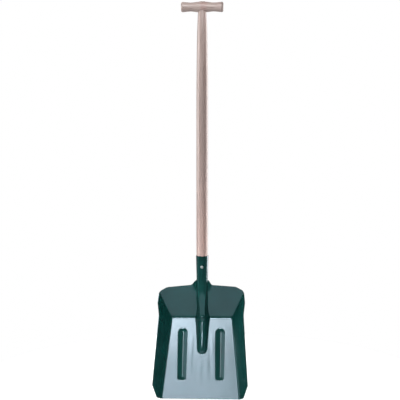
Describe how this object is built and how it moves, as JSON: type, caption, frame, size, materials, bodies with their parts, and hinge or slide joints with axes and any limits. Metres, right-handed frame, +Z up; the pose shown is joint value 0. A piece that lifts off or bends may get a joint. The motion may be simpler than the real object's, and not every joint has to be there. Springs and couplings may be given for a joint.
{
  "type": "snow shovel",
  "caption": "Scoop-type snow shovel: pressed steel pan with side walls, ribs and a tongue, socketed and riveted to a turned wooden shaft with a T-shaped grip.",
  "frame": {"origin": "on the shaft's axis at the underside of the grip, where a tool hook carries the hanging shovel; the lip of the pan is 1.318 m below it", "axes": "+Z up along the shaft from the pan to the grip, -Y towards the open side of the pan, X along the grip's length"},
  "size_m": [0.3266, 0.1559, 1.3547],
  "materials": {
    "green_enamel": "smooth glossy dark green stoving enamel",
    "rivet_steel": "bare zinc-bright steel, slightly dull",
    "shaft_wood": "sanded pale birch, thin clear lacquer",
    "grip_wood": "turned pale birch, thin clear lacquer",
    "wedge_wood": "darker hardwood, end grain"
  },
  "bodies": {
    "root": {"blade": "green_enamel", "back_strap": "green_enamel", "blade_rivet": "green_enamel", "blade_burr": "green_enamel", "socket_rivet": "rivet_steel", "socket_burr": "rivet_steel", "shaft": "shaft_wood", "grip": "grip_wood", "grip_wedge": "wedge_wood"}
  },
  "joints": []
}
